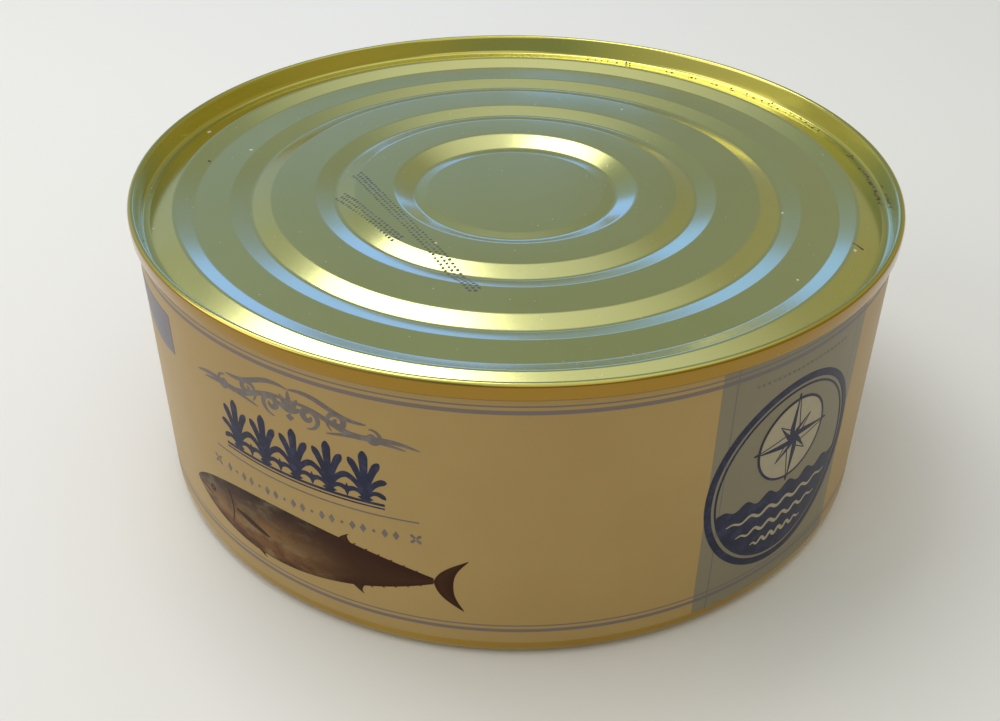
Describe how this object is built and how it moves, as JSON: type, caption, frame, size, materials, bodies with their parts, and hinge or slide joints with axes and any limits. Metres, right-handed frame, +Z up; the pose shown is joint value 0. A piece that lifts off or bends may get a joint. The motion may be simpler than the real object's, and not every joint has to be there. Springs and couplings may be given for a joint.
{
  "type": "tin of tuna",
  "caption": "Shut low round fish tin: a straight printed can body with a rounded base, and a gold lacquered lid with ring beads, double-seamed onto it.",
  "frame": {"origin": "middle of the standing ring, at the level of the surface that the tin rests on", "axes": "+Z up along the tin's axis, towards the lid; -Y is the front, between the two printed figures"},
  "size_m": [0.1558, 0.1558, 0.062],
  "materials": {
    "printed_can": "semi-gloss ivory print with blue and brown ink, bare gold lacquer at the base edge and underneath",
    "gold_lacquer": "satin tinplate under pale greenish gold lacquer, with ink-jet dots and a few marks"
  },
  "bodies": {
    "root": {"can_body": "printed_can", "seamed_lid": "gold_lacquer"}
  },
  "joints": []
}
